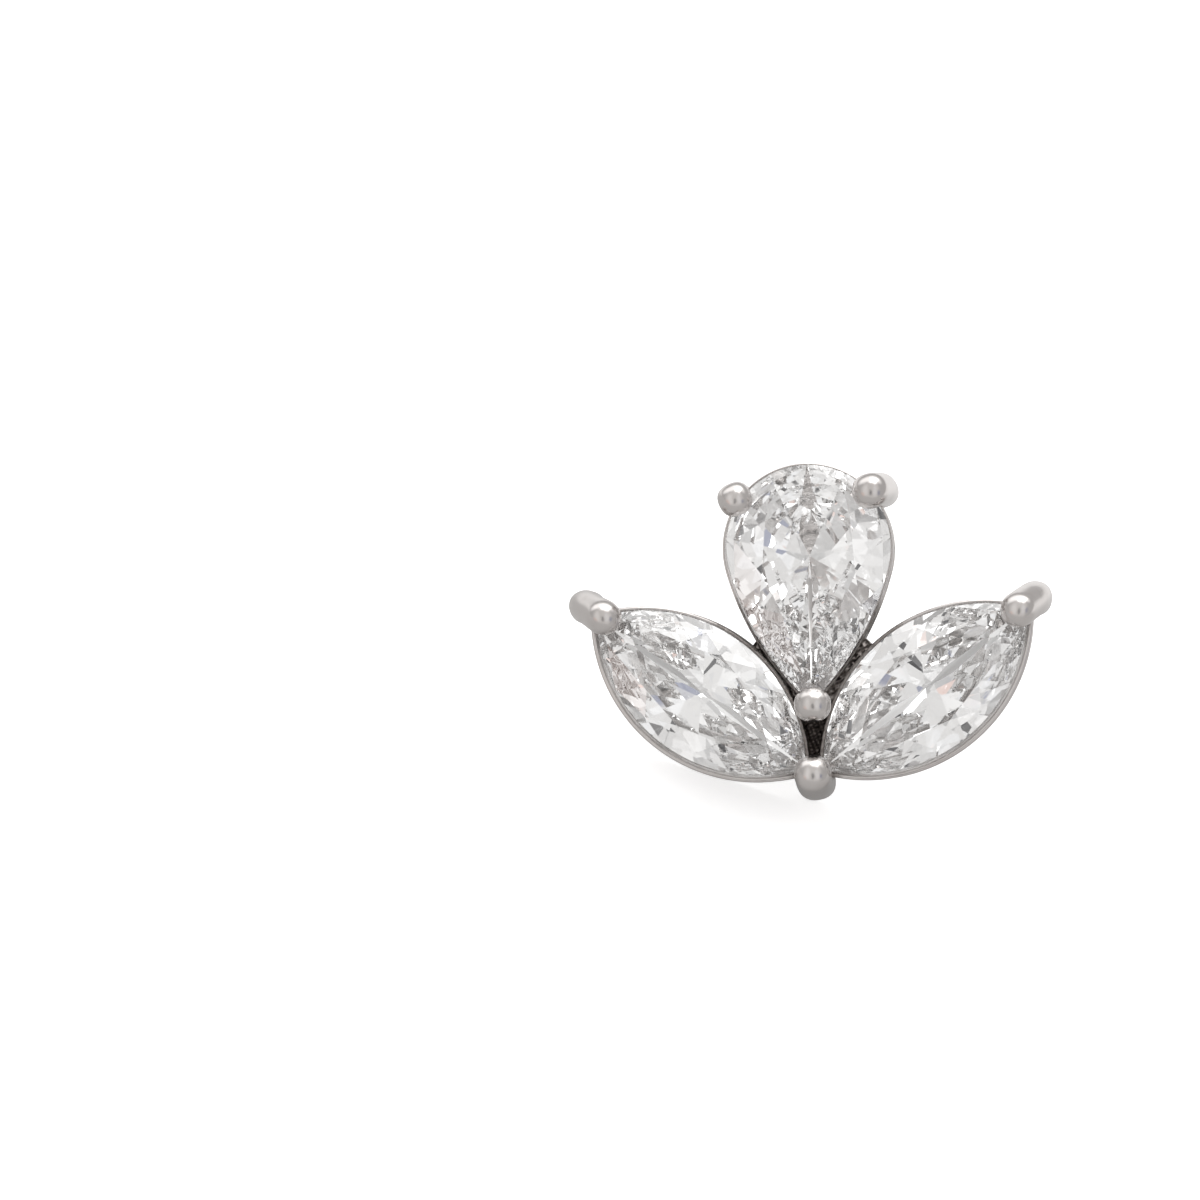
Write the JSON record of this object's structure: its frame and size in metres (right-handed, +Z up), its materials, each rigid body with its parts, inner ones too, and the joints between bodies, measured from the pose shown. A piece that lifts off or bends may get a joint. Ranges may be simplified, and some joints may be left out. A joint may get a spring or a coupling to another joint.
{
  "type": "flower stud earring",
  "caption": "Flower-shaped stud earring: a pear-cut clear stone above marquise-cut leaves, held by prongs in open baskets on a straight grooved post.",
  "frame": {"origin": "on the surface that the stud lies on, below the middle of its box", "axes": "+Z up from that surface; the stones face towards -Y and up, and the post runs back and down towards +Y; +X to the right of a viewer who looks along +Y"},
  "size_m": [0.0174, 0.0198, 0.0124],
  "materials": {
    "plated_metal": "polished",
    "crystal": "polished"
  },
  "bodies": {
    "root": {"setting": "plated_metal", "pear_stone": "crystal", "marquise_left": "crystal", "marquise_right": "crystal"}
  },
  "joints": []
}
